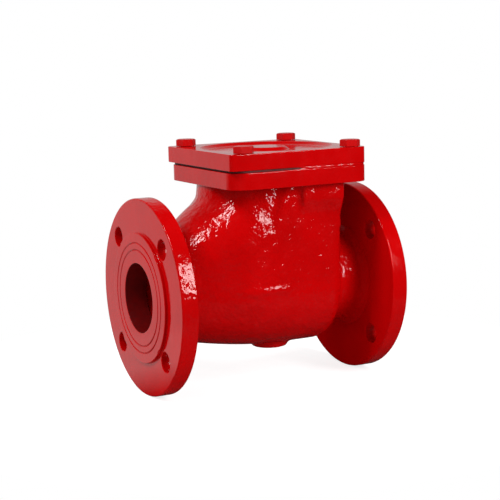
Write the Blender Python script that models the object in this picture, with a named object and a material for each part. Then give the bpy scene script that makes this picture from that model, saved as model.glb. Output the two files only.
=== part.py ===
"""Flanged swing check valve for a 65 mm pipe.

The pipe runs along X through the origin, which lies midway between the two flange faces.
The inlet flange is at +X and the outlet flange at -X. The cover is on top, at +Z.
Every size is in metres.
"""
import math

import bmesh
import bpy
from mathutils import Matrix, Vector

# Pipe ends
face_to_face = 0.240
bore_diameter = 0.065
flange_diameter = 0.185
flange_thickness = 0.019
raised_face_diameter = 0.122
raised_face_height = 0.003
groove_diameters = (0.103, 0.090)
groove_width = 0.0018
groove_depth = 0.0009
bolt_hole_edge_distance = 0.020
bolt_hole_diameter = 0.019
bolt_hole_count = 4
flange_edge_chamfer = 0.001
flange_root_radius = 0.007
bore_mouth_chamfer = 0.001

# Body casting
wall = 0.0085
disc_side_room = 0.0064
barrel_end_x = 0.070
barrel_edge_radius = 0.014
chamber_corner_radius = 0.005
belly_full_x = 0.024
side_full_x = -0.015
shoulder_full_x = -0.020
shoulder_top = 0.096
side_height = 0.062
neck_x = 0.006
neck_band_top = 0.0935
neck_step = 0.0015
neck_corner_radius = 0.010
inlet_neck_radius = 0.044
drain_boss_x = 0.015
drain_boss_radius = 0.0185
drain_boss_draft = 0.0012
drain_boss_height = 0.0018

# Bonnet joint
bonnet_x = 0.0178
bonnet_flange_x = 0.0174
cover_x = 0.0158
bonnet_flange_length = 0.1423
bonnet_flange_width = 0.1454
bonnet_flange_thickness = 0.0155
bonnet_flange_top = 0.1160
bonnet_corner_radius = 0.017
cover_setback_x = 0.00015
cover_setback_y = 0.0019
cover_thickness = 0.0151
cover_corner_radius = 0.006
cover_edge_radius = 0.0012
cover_recess_border = 0.0078
cover_recess_depth = 0.003
cover_recess_flank = 0.004
cover_boss_radius = 0.022
spigot_height = 0.004
gasket_thickness = 0.0015
gasket_inset = 0.0015
cover_bolt_edge_x = 0.01515
cover_bolt_edge_y = 0.0107
cover_bolt_diameter = 0.010
cover_bolt_head_flats = 0.017
cover_bolt_head_height = 0.0064
cover_bolt_engagement = 0.0115
cover_bolt_turns = (8, 20, 13, 17)
tapped_hole_bottom_play = 0.001
cover_bolt_hole_clearance = 0.0008

# Seat and disc
seat_land_width = 0.0055
seat_collar_radius = 0.0412
seat_collar_height = 0.0055
seat_land_bevel = 0.002
seat_spigot_radius = 0.038
seat_spigot_length = 0.0065
facing_thickness = 0.003
facing_width = 0.0105
facing_overhang = 0.002
disc_thickness = 0.008
disc_rim_width = 0.003
disc_rim_height = 0.0018
disc_boss_radius = 0.011
disc_boss_height = 0.002
disc_crown_height = 0.002
disc_crown_radius = 0.022
stud_diameter = 0.012
stud_tail = 0.006
retainer_thickness = 0.0025
retainer_bevel = 0.001
retainer_screw_diameter = 0.008
retainer_screw_depth = 0.009
retainer_screw_flats = 0.013
retainer_screw_head_height = 0.0053
washer_diameter = 0.024
washer_thickness = 0.002
nut_flats = 0.018
nut_height = 0.010
split_pin_diameter = 0.0024
split_pin_eye_radius = 0.0028
split_pin_foot_length = 0.003

# Hinge
pin_diameter = 0.010
pin_setback = 0.018
pin_height = 0.068
swing_angle = 68.0
hub_radius = 0.0105
hub_inner_y = 0.012
hub_side_room = 0.0012
arm_leg_outer_y = 0.029
arm_thickness = 0.009
arm_eye_radius = 0.014
arm_eye_thickness = 0.012
arm_crotch_height = 0.046
stop_horn_radius = 0.004
stop_horn_width = 0.006
pin_end_chamfer = 0.001
bush_wall = 0.002
hinge_block_width = 0.0154
hinge_block_thickness = 0.0050
hinge_block_foot = 0.009
hinge_pad_left_x = 0.022
hinge_pad_right_x = 0.0668
hinge_pad_bottom = 0.0615
hinge_pad_corner_radius = 0.0175

# Fits: the gap between pieces that touch, and the play round a piece that turns. Shapes that
# are joined into one overlap, and a small step keeps their faces from coinciding.
seat_gap = 0.0003
running_play = 0.0003
overlap = 0.004
joining_step = 0.0004

# Colours
red_enamel = (0.50, 0.004, 0.006)
bronze = (0.55, 0.36, 0.16)
bright_steel = (0.60, 0.60, 0.58)

# Facets
flange_steps = 56
ring_steps = 40
small_steps = 20
wire_steps = 10
section_steps = 13
station_count = 11
corner_steps = 4

# Places that follow from the sizes above
bore_radius = bore_diameter / 2
half_length = face_to_face / 2
flange_back = half_length - flange_thickness
bolt_circle_radius = flange_diameter / 2 - bolt_hole_edge_distance
outlet_neck_radius = bore_radius + wall
facing_inner_radius = bore_radius + seat_land_width + facing_overhang - facing_width
facing_outer_radius = facing_inner_radius + facing_width
disc_radius = facing_outer_radius + seat_gap + disc_rim_width
chamber_half_width = disc_radius + disc_side_room
chamber_end_x = barrel_end_x - wall
barrel_radius = chamber_half_width + wall
drain_boss_bottom = -barrel_radius - drain_boss_height
neck_radius = barrel_radius - joining_step
neck_opening_radius = chamber_half_width - joining_step
seat_face_x = chamber_end_x - seat_collar_height
facing_front_x = seat_face_x - seat_gap
disc_front_x = facing_front_x - facing_thickness - seat_gap
disc_back_x = disc_front_x - disc_thickness
boss_end_x = disc_back_x - disc_boss_height
eye_front_x = boss_end_x - seat_gap
eye_back_x = eye_front_x - arm_eye_thickness
washer_front_x = eye_back_x - seat_gap
nut_front_x = washer_front_x - washer_thickness - seat_gap
nut_back_x = nut_front_x - nut_height
stud_end_x = nut_back_x - stud_tail
split_pin_x = nut_back_x - 2 * seat_gap - split_pin_diameter / 2
pin_x = seat_face_x - pin_setback
pin_radius = pin_diameter / 2
hub_outer_y = chamber_half_width - hub_side_room
stud_radius = stud_diameter / 2
bonnet_flange_bottom = bonnet_flange_top - bonnet_flange_thickness
cover_length = bonnet_flange_length - 2 * cover_setback_x
cover_width = bonnet_flange_width - 2 * cover_setback_y
cover_recess_radius = cover_width / 2 - cover_recess_border
cover_bolt_spacing_x = bonnet_flange_length - 2 * cover_bolt_edge_x
cover_bolt_spacing_y = bonnet_flange_width - 2 * cover_bolt_edge_y
gasket_bottom = bonnet_flange_top + seat_gap
cover_bottom = gasket_bottom + gasket_thickness + seat_gap
cover_top = cover_bottom + cover_thickness
pocket_depth_y = chamber_half_width + hinge_block_thickness + 2 * seat_gap
pocket_half_width = hinge_block_width / 2 + seat_gap
pocket_floor_z = pin_height - hinge_block_foot - seat_gap
hinge_pad_y = pocket_depth_y + wall
along_pipe = Matrix.Rotation(math.radians(90), 4, "Y")
along_pin = Matrix.Translation((pin_x, 0, pin_height)) @ Matrix.Rotation(math.radians(-90), 4, "X")


for old in list(bpy.data.objects):
    bpy.data.objects.remove(old, do_unlink=True)

valve_collection = bpy.data.collections.new("swing_check_valve")
cutter_collection = bpy.data.collections.new("cutters")
for collection in (valve_collection, cutter_collection):
    bpy.context.scene.collection.children.link(collection)


def make_material(name, colour, roughness, metallic):
    material = bpy.data.materials.new(name)
    material.use_nodes = True
    shader = material.node_tree.nodes["Principled BSDF"]
    shader.inputs["Base Color"].default_value = (*colour, 1.0)
    shader.inputs["Roughness"].default_value = roughness
    shader.inputs["Metallic"].default_value = metallic
    return material


def add_object(name, data, matrix=None):
    """Put a mesh or curve in the valve's collection, at a place given by a matrix."""
    item = bpy.data.objects.new(name, data)
    valve_collection.objects.link(item)
    if matrix is not None:
        item.matrix_world = matrix
    return item


def finish(item, colour, roughness, metallic):
    """Give a finished piece a material of its own."""
    item.data.materials.append(make_material(item.name, colour, roughness, metallic))
    return item


def combine(target, other, operation):
    """Join another shape to the target, or cut it out, and file it with the cutters."""
    valve_collection.objects.unlink(other)
    cutter_collection.objects.link(other)
    other.hide_render = True
    other.display_type = "WIRE"
    modifier = target.modifiers.new(f"{operation.lower()}_{other.name}", "BOOLEAN")
    modifier.operation = operation
    modifier.solver = "EXACT"
    modifier.object = other


def mesh_object(name, bm, matrix=None, sharp=35):
    mesh = bpy.data.meshes.new(name)
    bm.to_mesh(mesh)
    bm.free()
    mesh.shade_smooth()
    mesh.set_sharp_from_angle(angle=math.radians(sharp))
    return add_object(name, mesh, matrix)


def cylinder(name, radius, low, high, steps, matrix=None, top_radius=None):
    """A round bar or cone along its own Z, from low to high."""
    bm = bmesh.new()
    bmesh.ops.create_cone(
        bm, cap_ends=True, segments=steps, radius1=radius,
        radius2=radius if top_radius is None else top_radius, depth=high - low,
        matrix=Matrix.Translation((0, 0, (low + high) / 2)),
    )
    return mesh_object(name, bm, matrix)


def hexagon_bar(bm, flats, low, high):
    """Add a hexagonal bar along Z to a mesh."""
    bmesh.ops.create_cone(
        bm, cap_ends=True, segments=6, radius1=flats / math.sqrt(3), radius2=flats / math.sqrt(3),
        depth=high - low, matrix=Matrix.Translation((0, 0, (low + high) / 2)),
    )


def turned(name, profile, steps, matrix=None, closed=False):
    """Turn a profile of (radius, height) points about Z; a closed one makes a ring."""
    bm = bmesh.new()
    points = [bm.verts.new((radius, 0, height)) for radius, height in profile]
    lines = [bm.edges.new(pair) for pair in zip(points, points[1:])]
    if closed:
        lines.append(bm.edges.new((points[-1], points[0])))
    bmesh.ops.spin(bm, geom=points + lines, cent=(0, 0, 0), axis=(0, 0, 1), angle=2 * math.pi,
                   steps=steps, use_merge=True)
    bmesh.ops.remove_doubles(bm, verts=bm.verts, dist=1e-6)
    bmesh.ops.recalc_face_normals(bm, faces=bm.faces)
    return mesh_object(name, bm, matrix)


def block(name, low, high, corner_radius=0.0, edge_radius=0.0):
    """A box between two corners, its upright edges rounded first and then its top and bottom."""
    low, high = Vector(low), Vector(high)
    bm = bmesh.new()
    size = Matrix.Diagonal((*(high - low), 1))
    bmesh.ops.create_cube(bm, size=1, matrix=Matrix.Translation((low + high) / 2) @ size)
    if corner_radius:
        upright = [e for e in bm.edges if abs(e.verts[0].co.z - e.verts[1].co.z) > 1e-6]
        bmesh.ops.bevel(bm, geom=upright, offset=corner_radius, segments=corner_steps,
                        affect="EDGES", profile=0.5)
    if edge_radius:
        level = [e for e in bm.edges if abs(e.verts[0].co.z - e.verts[1].co.z) < 1e-6
                 and abs(e.calc_face_angle(0)) > math.radians(60)]
        bmesh.ops.bevel(bm, geom=level, offset=edge_radius, segments=2, affect="EDGES", profile=0.5)
    return mesh_object(name, bm)


def outline_solid(name, points, thickness, matrix):
    """A flat outline filled and given a thickness, centred on its own plane."""
    curve = bpy.data.curves.new(name, "CURVE")
    curve.dimensions = "2D"
    curve.fill_mode = "BOTH"
    curve.extrude = thickness / 2
    spline = curve.splines.new("POLY")
    spline.points.add(len(points) - 1)
    for point, (across, along) in zip(spline.points, points):
        point.co = (across, along, 0, 1)
    spline.use_cyclic_u = True
    drawn = add_object(name + "_outline", curve, matrix)
    bpy.context.view_layer.update()
    evaluated = drawn.evaluated_get(bpy.context.evaluated_depsgraph_get())
    mesh = bpy.data.meshes.new_from_object(evaluated)
    mesh.name = name
    bm = bmesh.new()
    bm.from_mesh(mesh)
    bmesh.ops.remove_doubles(bm, verts=bm.verts, dist=1e-6)
    bmesh.ops.recalc_face_normals(bm, faces=bm.faces)
    bm.to_mesh(mesh)
    bm.free()
    item = add_object(name, mesh, drawn.matrix_world.copy())
    bpy.data.objects.remove(drawn, do_unlink=True)
    return item


def arc(centre, radius, start, end, steps):
    """Points on an arc, with its angles in degrees."""
    turn = [math.radians(start + (end - start) * k / steps) for k in range(steps + 1)]
    return [(centre[0] + radius * math.cos(a), centre[1] + radius * math.sin(a)) for a in turn]


def neck_outline(radius, end_x, corner):
    """Plan of the neck: a half circle towards the outlet and straight sides to the seat wall."""
    points = arc((neck_x, 0), radius, 90, 270, 2 * section_steps)
    points += arc((end_x - corner, corner - radius), corner, 270, 360, corner_steps)
    points += arc((end_x - corner, radius - corner), corner, 0, 90, corner_steps)
    return points


def neck_column(name, radius, end_x, corner, low, high):
    place = Matrix.Translation((0, 0, (low + high) / 2))
    return outline_solid(name, neck_outline(radius, end_x, corner), high - low, place)


def body_section(x, inset):
    """Width, depth, side height and top of the casting at x, drawn in by an inset."""
    def rise(full_x):
        share = (x + flange_back) / (full_x + flange_back)
        return math.sin(math.pi / 2 * min(max(share, 0), 1))

    width = outlet_neck_radius + (barrel_radius - outlet_neck_radius) * rise(side_full_x)
    depth = outlet_neck_radius + (barrel_radius - outlet_neck_radius) * rise(belly_full_x)
    top = outlet_neck_radius + (shoulder_top - outlet_neck_radius) * rise(shoulder_full_x)
    least_side = overlap / 2
    side = least_side + (side_height - least_side) * rise(shoulder_full_x)
    return width - inset, depth - inset, side, top - inset


def body_loft(name, stations):
    """Skin the sections at the given (x, inset) stations: half ellipse, straight sides and cap."""
    bm = bmesh.new()
    rings = []
    for x, inset in stations:
        width, depth, side, top = body_section(x, inset)
        cap = arc((0, 0), 1, 0, 180, section_steps)
        belly = arc((0, 0), 1, 180, 360, section_steps)
        points = [(width * c, side + (top - side) * s) for c, s in cap]
        points += [(width * c, depth * s) for c, s in belly]
        rings.append([bm.verts.new((x, y, z)) for y, z in points])
    for near, far in zip(rings, rings[1:]):
        for k in range(len(near)):
            following = (k + 1) % len(near)
            bm.faces.new((near[k], far[k], far[following], near[following]))
    bm.faces.new(rings[0])
    bm.faces.new(list(reversed(rings[-1])))
    bmesh.ops.recalc_face_normals(bm, faces=bm.faces)
    return mesh_object(name, bm)


def loft_stations(start_x, end_x, inset, edge_radius):
    """Even stations along the casting, and a rounded edge at the seat wall."""
    straight_end = end_x - edge_radius
    step = (straight_end - start_x) / station_count
    stations = [(start_x + step * k, inset) for k in range(station_count + 1)]
    for k in range(1, corner_steps + 1):
        turn = math.pi / 2 * k / corner_steps
        stations.append((straight_end + edge_radius * math.sin(turn),
                         inset + edge_radius * (1 - math.cos(turn))))
    return stations


def flange_profile(neck_radius_here, neck_end):
    """Outer side of a pipe flange, from its raised face down to a stub of its neck."""
    raised_radius = raised_face_diameter / 2
    outer = flange_diameter / 2
    face = half_length - raised_face_height
    profile = [(0, half_length)]
    for diameter in reversed(groove_diameters):
        middle = diameter / 2
        profile += [(middle - groove_width / 2, half_length), (middle, half_length - groove_depth),
                    (middle + groove_width / 2, half_length)]
    profile += [(raised_radius - flange_edge_chamfer / 2, half_length),
                (raised_radius, half_length - flange_edge_chamfer / 2), (raised_radius, face),
                (outer - flange_edge_chamfer, face), (outer, face - flange_edge_chamfer),
                (outer, flange_back + flange_edge_chamfer), (outer - flange_edge_chamfer, flange_back)]
    root = (neck_radius_here + flange_root_radius, flange_back - flange_root_radius)
    profile += arc(root, flange_root_radius, 90, 180, corner_steps)
    profile += [(neck_radius_here, neck_end), (0, neck_end)]
    return profile


def make_flange(side, neck_radius_here, neck_end):
    """A drilled pipe flange; side is 1 at the inlet and -1 at the outlet."""
    name = "inlet_flange" if side > 0 else "outlet_flange"
    matrix = Matrix.Rotation(math.radians(90 * side), 4, "Y")
    return turned(name, flange_profile(neck_radius_here, neck_end), flange_steps, matrix)


def make_body():
    body = make_flange(1, inlet_neck_radius, chamber_end_x + overlap / 2)
    body.name = "body"
    stub_radius = outlet_neck_radius - 2 * joining_step
    stub_end = flange_back - flange_root_radius - overlap
    combine(body, make_flange(-1, stub_radius, stub_end), "UNION")
    outer = loft_stations(-flange_back - overlap, barrel_end_x, 0, barrel_edge_radius)
    combine(body, body_loft("casting_outside", outer), "UNION")

    neck_end_x = barrel_end_x - joining_step
    band_low = side_height - overlap
    combine(body, neck_column("neck_band", neck_radius, neck_end_x, neck_corner_radius,
                              band_low, neck_band_top), "UNION")
    combine(body, neck_column("neck", neck_radius - neck_step, neck_end_x - neck_step,
                              neck_corner_radius, band_low, bonnet_flange_bottom + overlap), "UNION")

    for side, name in ((1, "back_pad"), (-1, "front_pad")):
        combine(body, hinge_pad(name, side), "UNION")

    half_x, half_y = bonnet_flange_length / 2, bonnet_flange_width / 2
    plate = block("bonnet_flange", (bonnet_flange_x - half_x, -half_y, bonnet_flange_bottom),
                  (bonnet_flange_x + half_x, half_y, bonnet_flange_top), bonnet_corner_radius)
    combine(body, plate, "UNION")
    boss = cylinder("drain_boss", drain_boss_radius - drain_boss_draft, drain_boss_bottom,
                    overlap - barrel_radius, small_steps, Matrix.Translation((drain_boss_x, 0, 0)),
                    drain_boss_radius)
    combine(body, boss, "UNION")
    hollow_body(body)
    drill_body(body)
    return finish(body, red_enamel, 0.25, 0.0)


def hinge_pad(name, side):
    """Thickened wall outside a hinge pocket, standing in the XZ plane at the front or back."""
    left, right, low = hinge_pad_left_x, hinge_pad_right_x, hinge_pad_bottom
    high = bonnet_flange_bottom + overlap
    corner = hinge_pad_corner_radius
    points = [(right, high), (left, high)]
    points += arc((left + corner, low + corner), corner, 180, 270, corner_steps)
    points += arc((right - corner, low + corner), corner, 270, 360, corner_steps)
    inner_y = chamber_half_width + overlap
    middle = side * (hinge_pad_y + inner_y) / 2
    place = Matrix.Translation((0, middle, 0)) @ Matrix.Rotation(math.radians(90), 4, "X")
    return outline_solid(name, points, hinge_pad_y - inner_y, place)


def hollow_body(body):
    """Cut the flow path: outlet bore, chamber, neck opening, inlet bore and the seat's recess."""
    inner = loft_stations(overlap / 2 - flange_back, chamber_end_x, wall, chamber_corner_radius)
    lead_in = (-flange_back - overlap, wall + overlap / 2)
    combine(body, body_loft("chamber", [lead_in] + inner), "DIFFERENCE")
    combine(body, neck_column("neck_opening", neck_opening_radius, chamber_end_x - joining_step,
                              chamber_corner_radius, side_height - 2 * overlap,
                              bonnet_flange_top + overlap), "DIFFERENCE")
    mouth = bore_radius + bore_mouth_chamfer
    beyond = half_length + overlap
    outlet = [(0, beyond), (mouth, beyond), (mouth, half_length),
              (bore_radius, half_length - bore_mouth_chamfer), (bore_radius, flange_back - overlap),
              (0, flange_back - overlap)]
    combine(body, turned("outlet_bore", outlet, ring_steps,
                         Matrix.Rotation(math.radians(-90), 4, "Y")), "DIFFERENCE")
    recess = seat_spigot_radius + seat_gap
    recess_end = chamber_end_x + seat_spigot_length + seat_gap
    inlet = [(0, beyond), (mouth, beyond), (mouth, half_length),
             (bore_radius, half_length - bore_mouth_chamfer), (bore_radius, recess_end),
             (recess, recess_end), (recess, chamber_end_x - overlap), (0, chamber_end_x - overlap)]
    combine(body, turned("inlet_bore", inlet, ring_steps, along_pipe), "DIFFERENCE")
    for side, name in ((1, "back_pocket"), (-1, "front_pocket")):
        low_y, high_y = sorted((side * (chamber_half_width - overlap), side * pocket_depth_y))
        pocket = block(name, (pin_x - pocket_half_width, low_y, pocket_floor_z),
                       (pin_x + pocket_half_width, high_y, bonnet_flange_top + overlap))
        combine(body, pocket, "DIFFERENCE")


def drill_body(body):
    """Drill both pipe flanges, straddling the centre lines, and tap the bonnet flange."""
    for end in (1, -1):
        for k in range(bolt_hole_count):
            turn = math.pi * (2 * k + 1) / bolt_hole_count
            place = (0, bolt_circle_radius * math.cos(turn), bolt_circle_radius * math.sin(turn))
            low, high = sorted((end * (half_length + overlap), end * (flange_back - overlap)))
            drill = cylinder(f"flange_hole_{end}_{k}", bolt_hole_diameter / 2, low, high, small_steps,
                             Matrix.Translation(place) @ along_pipe)
            combine(body, drill, "DIFFERENCE")
    for k, (x, y) in enumerate(cover_bolt_places()):
        tap = cylinder(f"tapped_hole_{k}", cover_bolt_diameter / 2 + seat_gap,
                       bonnet_flange_top - cover_bolt_engagement - tapped_hole_bottom_play,
                       bonnet_flange_top + overlap, small_steps, Matrix.Translation((x, y, 0)))
        combine(body, tap, "DIFFERENCE")


def cover_bolt_places():
    """Centres of the cover bolts: front left, front right, back left, back right."""
    return [(bonnet_x + cover_bolt_spacing_x / 2 * sx, cover_bolt_spacing_y / 2 * sy)
            for sy in (-1, 1) for sx in (-1, 1)]


def make_cover():
    half_x, half_y = cover_length / 2, cover_width / 2
    cover = block("cover", (cover_x - half_x, -half_y, cover_bottom),
                  (cover_x + half_x, half_y, cover_top), cover_corner_radius, cover_edge_radius)
    floor = cover_top - cover_recess_depth
    above = cover_top + overlap
    flank_rise = cover_recess_flank * overlap / cover_recess_depth
    ring = [(cover_recess_radius + flank_rise, above),
            (cover_recess_radius - cover_recess_flank, floor), (cover_boss_radius, floor),
            (cover_boss_radius - cover_edge_radius, cover_top),
            (cover_boss_radius - cover_edge_radius, above)]
    middle = Matrix.Translation((bonnet_x, 0, 0))
    recess = turned("cover_recess", ring, flange_steps, middle, closed=True)
    combine(cover, recess, "DIFFERENCE")
    spigot = neck_column("cover_spigot", neck_opening_radius - 2 * seat_gap,
                         chamber_end_x - joining_step - 2 * seat_gap, chamber_corner_radius,
                         cover_bottom - spigot_height, cover_bottom + overlap)
    combine(cover, spigot, "UNION")
    for k, (x, y) in enumerate(cover_bolt_places()):
        hole = cylinder(f"cover_hole_{k}", cover_bolt_diameter / 2 + cover_bolt_hole_clearance,
                        cover_bottom - overlap, above, small_steps, Matrix.Translation((x, y, 0)))
        combine(cover, hole, "DIFFERENCE")
    return finish(cover, red_enamel, 0.25, 0.0)


def make_gasket():
    half_x = bonnet_flange_length / 2 - gasket_inset
    half_y = bonnet_flange_width / 2 - gasket_inset
    gasket = block("cover_gasket", (bonnet_flange_x - half_x, -half_y, gasket_bottom),
                   (bonnet_flange_x + half_x, half_y, gasket_bottom + gasket_thickness),
                   bonnet_corner_radius - gasket_inset)
    combine(gasket, neck_column("gasket_opening", neck_opening_radius, chamber_end_x - joining_step,
                                chamber_corner_radius, gasket_bottom - overlap,
                                gasket_bottom + overlap), "DIFFERENCE")
    for k, (x, y) in enumerate(cover_bolt_places()):
        hole = cylinder(f"gasket_hole_{k}", cover_bolt_diameter / 2 + cover_bolt_hole_clearance,
                        gasket_bottom - overlap, gasket_bottom + overlap, small_steps,
                        Matrix.Translation((x, y, 0)))
        combine(gasket, hole, "DIFFERENCE")
    return finish(gasket, (0.03, 0.03, 0.032), 0.8, 0.0)


def make_cover_bolt(name, x, y, turn):
    """Hexagon-head screw, left at its own turn: head on the cover, shank in the tapped hole."""
    head_low = cover_top + seat_gap
    shank_low = bonnet_flange_top - cover_bolt_engagement
    bolt = cylinder(name, cover_bolt_diameter / 2, shank_low, head_low + overlap / 2, small_steps,
                    Matrix.Translation((x, y, 0)))
    bm = bmesh.new()
    hexagon_bar(bm, cover_bolt_head_flats, head_low, head_low + cover_bolt_head_height)
    place = Matrix.Translation((x, y, 0)) @ Matrix.Rotation(math.radians(-turn), 4, "Z")
    head = mesh_object(name + "_head", bm, place @ Matrix.Rotation(math.radians(30), 4, "Z"))
    combine(bolt, head, "UNION")
    return finish(bolt, red_enamel, 0.3, 0.0)


def make_seat_ring():
    land = bore_radius + seat_land_width
    shoulder_x = chamber_end_x - seat_gap
    end_x = chamber_end_x + seat_spigot_length
    profile = [(bore_radius, end_x), (seat_spigot_radius, end_x), (seat_spigot_radius, shoulder_x),
               (seat_collar_radius, shoulder_x), (seat_collar_radius, seat_face_x + seat_land_bevel),
               (land, seat_face_x), (bore_radius, seat_face_x)]
    ring = turned("body_seat_ring", profile, ring_steps, along_pipe, closed=True)
    return finish(ring, bronze, 0.3, 1.0)


def make_disc():
    """The clapper: rimmed plate, back boss and stud, with a cross hole for the split pin."""
    rim = facing_outer_radius + seat_gap
    screw_hole = retainer_screw_diameter / 2 + seat_gap
    hole_end = disc_front_x - retainer_screw_depth - seat_gap
    profile = [(0, hole_end), (screw_hole, hole_end), (screw_hole, disc_front_x), (rim, disc_front_x),
               (rim, disc_front_x + disc_rim_height), (disc_radius, disc_front_x + disc_rim_height),
               (disc_radius, disc_back_x + disc_crown_height), (disc_crown_radius, disc_back_x),
               (disc_boss_radius, disc_back_x), (disc_boss_radius, boss_end_x),
               (stud_radius, boss_end_x), (stud_radius, stud_end_x), (0, stud_end_x)]
    disc = turned("disc", profile, ring_steps, along_pipe)
    cross = cylinder("split_pin_hole", split_pin_diameter / 2 + seat_gap, -stud_diameter,
                     stud_diameter, wire_steps, Matrix.Translation((split_pin_x, 0, 0)))
    combine(disc, cross, "DIFFERENCE")
    return finish(disc, (0.10, 0.10, 0.11), 0.55, 0.9)


def make_facing():
    back = facing_front_x - facing_thickness
    profile = [(facing_inner_radius, facing_front_x), (facing_outer_radius, facing_front_x),
               (facing_outer_radius, back), (facing_inner_radius, back)]
    facing = turned("disc_facing", profile, ring_steps, along_pipe, closed=True)
    return finish(facing, (0.02, 0.02, 0.02), 0.7, 0.0)


def make_retainer():
    radius = facing_inner_radius - seat_gap
    hole = retainer_screw_diameter / 2 + seat_gap
    back = disc_front_x + seat_gap
    front = back + retainer_thickness
    profile = [(hole, front), (radius - retainer_bevel, front), (radius, front - retainer_bevel),
               (radius, back), (hole, back)]
    retainer = turned("facing_retainer", profile, ring_steps, along_pipe, closed=True)
    return finish(retainer, bronze, 0.35, 1.0)


def make_retainer_screw():
    head_x = disc_front_x + retainer_thickness + 2 * seat_gap
    shank_end = disc_front_x - retainer_screw_depth
    screw = cylinder("retainer_screw", retainer_screw_diameter / 2, shank_end, head_x + overlap / 2,
                     small_steps, along_pipe)
    bm = bmesh.new()
    hexagon_bar(bm, retainer_screw_flats, head_x, head_x + retainer_screw_head_height)
    combine(screw, mesh_object("retainer_screw_head", bm, along_pipe), "UNION")
    return finish(screw, bright_steel, 0.3, 1.0)


def arm_outline():
    """Front view of the forked arm, in Y and Z: round the eye and up to the two hubs."""
    lean = math.degrees(math.atan2(arm_leg_outer_y - arm_eye_radius, pin_height))
    points = arc((0, 0), arm_eye_radius, 180 - lean, 360 + lean, 4 * corner_steps)
    points += [(arm_leg_outer_y, pin_height), (hub_inner_y, pin_height)]
    crotch = arm_crotch_height + hub_inner_y
    points += arc((0, crotch), hub_inner_y, 0, -180, 2 * corner_steps)
    points += [(-hub_inner_y, pin_height), (-arm_leg_outer_y, pin_height)]
    return points


def make_arm():
    """Hinge arm: a fork from two hubs on the pin down to the eye on the disc's stud."""
    up_right = Matrix.Rotation(math.radians(90), 4, "Z") @ Matrix.Rotation(math.radians(90), 4, "X")
    middle = (eye_front_x + eye_back_x) / 2
    place = Matrix.Translation((middle, 0, 0)) @ up_right
    arm = outline_solid("hinge_arm", arm_outline(), arm_thickness, place)
    combine(arm, cylinder("arm_eye", arm_eye_radius + joining_step, eye_back_x, eye_front_x,
                          ring_steps, along_pipe), "UNION")
    for side, name in ((1, "back"), (-1, "front")):
        low, high = sorted((side * hub_inner_y, side * hub_outer_y))
        hub = cylinder(f"{name}_hub", hub_radius, low, high, ring_steps, along_pin)
        combine(arm, hub, "UNION")
        leg_middle = side * (hub_inner_y + arm_leg_outer_y) / 2
        combine(arm, stop_horn(f"{name}_stop_horn", leg_middle), "UNION")
    stud_hole = cylinder("arm_eye_bore", stud_radius + running_play, eye_back_x - overlap,
                         eye_front_x + overlap, small_steps, along_pipe)
    combine(arm, stud_hole, "DIFFERENCE")
    bush_hole = cylinder("hub_bore", pin_radius + running_play + bush_wall + seat_gap,
                         -hub_outer_y - overlap, hub_outer_y + overlap, ring_steps, along_pin)
    combine(arm, bush_hole, "DIFFERENCE")
    return finish(arm, (0.32, 0.32, 0.33), 0.45, 1.0)


def stop_horn(name, y):
    """Horn above a hub that meets the seat wall when the arm is fully open."""
    reach = chamber_end_x - running_play - stop_horn_radius - pin_x
    length = reach / math.sin(math.radians(swing_angle))
    points = [(-stop_horn_radius, 0), (stop_horn_radius, 0)]
    points += arc((0, length), stop_horn_radius, 0, 180, corner_steps)
    place = Matrix.Translation((pin_x, y, pin_height)) @ Matrix.Rotation(math.radians(90), 4, "X")
    return outline_solid(name, points, stop_horn_width, place)


def make_arm_bush(name, side):
    """Bronze bush in one hub of the arm; it turns with the arm on the pin."""
    inner = pin_radius + running_play
    low, high = sorted((side * hub_inner_y, side * hub_outer_y))
    profile = [(inner, high), (inner + bush_wall, high), (inner + bush_wall, low), (inner, low)]
    bush = turned(name, profile, small_steps, along_pin, closed=True)
    return finish(bush, bronze, 0.3, 1.0)


def make_pin():
    reach = pocket_depth_y - seat_gap
    end_radius = pin_radius - pin_end_chamfer
    full_reach = reach - pin_end_chamfer
    profile = [(0, reach), (end_radius, reach), (pin_radius, full_reach), (pin_radius, -full_reach),
               (end_radius, -reach), (0, -reach)]
    return finish(turned("hinge_pin", profile, small_steps, along_pin), bright_steel, 0.25, 1.0)


def make_hinge_block(name, side):
    """Block that drops into a pocket of the body, holds a pin end and is kept by the cover."""
    near = chamber_half_width + seat_gap
    low_y, high_y = sorted((side * near, side * (near + hinge_block_thickness)))
    piece = block(name, (pin_x - hinge_block_width / 2, low_y, pin_height - hinge_block_foot),
                  (pin_x + hinge_block_width / 2, high_y, bonnet_flange_top - seat_gap))
    low, high = sorted((side * (near - overlap), side * (near + hinge_block_thickness + overlap)))
    bore = cylinder(name + "_bore", pin_radius + seat_gap, low, high, small_steps, along_pin)
    combine(piece, bore, "DIFFERENCE")
    return finish(piece, bronze, 0.4, 1.0)


def make_washer():
    inner = stud_radius + seat_gap
    back = washer_front_x - washer_thickness
    profile = [(inner, washer_front_x), (washer_diameter / 2, washer_front_x),
               (washer_diameter / 2, back), (inner, back)]
    washer = turned("disc_washer", profile, small_steps, along_pipe, closed=True)
    return finish(washer, bright_steel, 0.3, 1.0)


def make_nut():
    bm = bmesh.new()
    hexagon_bar(bm, nut_flats, nut_back_x, nut_front_x)
    nut = mesh_object("disc_nut", bm, along_pipe)
    thread = cylinder("nut_bore", stud_radius + seat_gap, nut_back_x - overlap, nut_front_x + overlap,
                      small_steps, along_pipe)
    combine(nut, thread, "DIFFERENCE")
    return finish(nut, bright_steel, 0.3, 1.0)


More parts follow.
